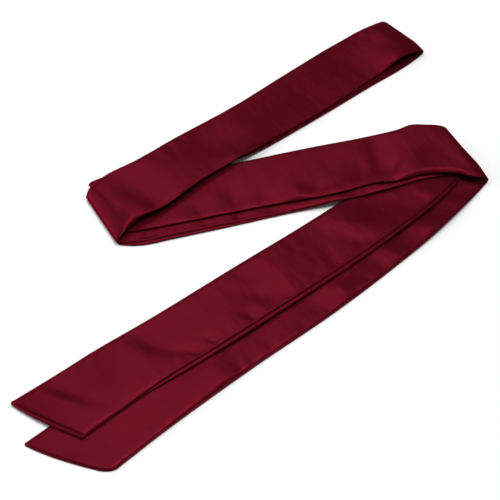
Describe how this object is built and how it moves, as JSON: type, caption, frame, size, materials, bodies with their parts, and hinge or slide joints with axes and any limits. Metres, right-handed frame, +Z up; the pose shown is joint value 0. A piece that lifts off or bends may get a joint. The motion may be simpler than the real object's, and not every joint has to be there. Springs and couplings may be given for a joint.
{
  "type": "skinny scarf",
  "caption": "Long narrow satin scarf, sewn as a flat tube with slanted ends, doubled and lying folded in a Z.",
  "frame": {"origin": "middle of the folded scarf's footprint, on the surface it lies on", "axes": "+Z up from the surface; +Y away from the viewer, towards the doubled end of the rear leg; +X to the right, towards the fold that joins the front and middle legs"},
  "size_m": [0.333, 0.4232, 0.0173],
  "materials": {
    "satin_face": "burgundy polyester satin, soft broad sheen",
    "satin_back": "burgundy polyester satin, soft broad sheen"
  },
  "bodies": {
    "root": {"face_1_leg1_upper": "satin_face", "back_1_leg1_upper": "satin_back", "face_2_leg2_lower": "satin_face", "back_2_leg2_lower": "satin_back", "face_3_leg3_upper": "satin_face", "back_3_leg3_upper": "satin_back", "face_4_leg3_lower": "satin_face", "back_4_leg3_lower": "satin_back", "face_5_leg2_upper": "satin_face", "back_5_leg2_upper": "satin_back", "face_6_leg1_lower": "satin_face", "back_6_leg1_lower": "satin_back"}
  },
  "joints": []
}
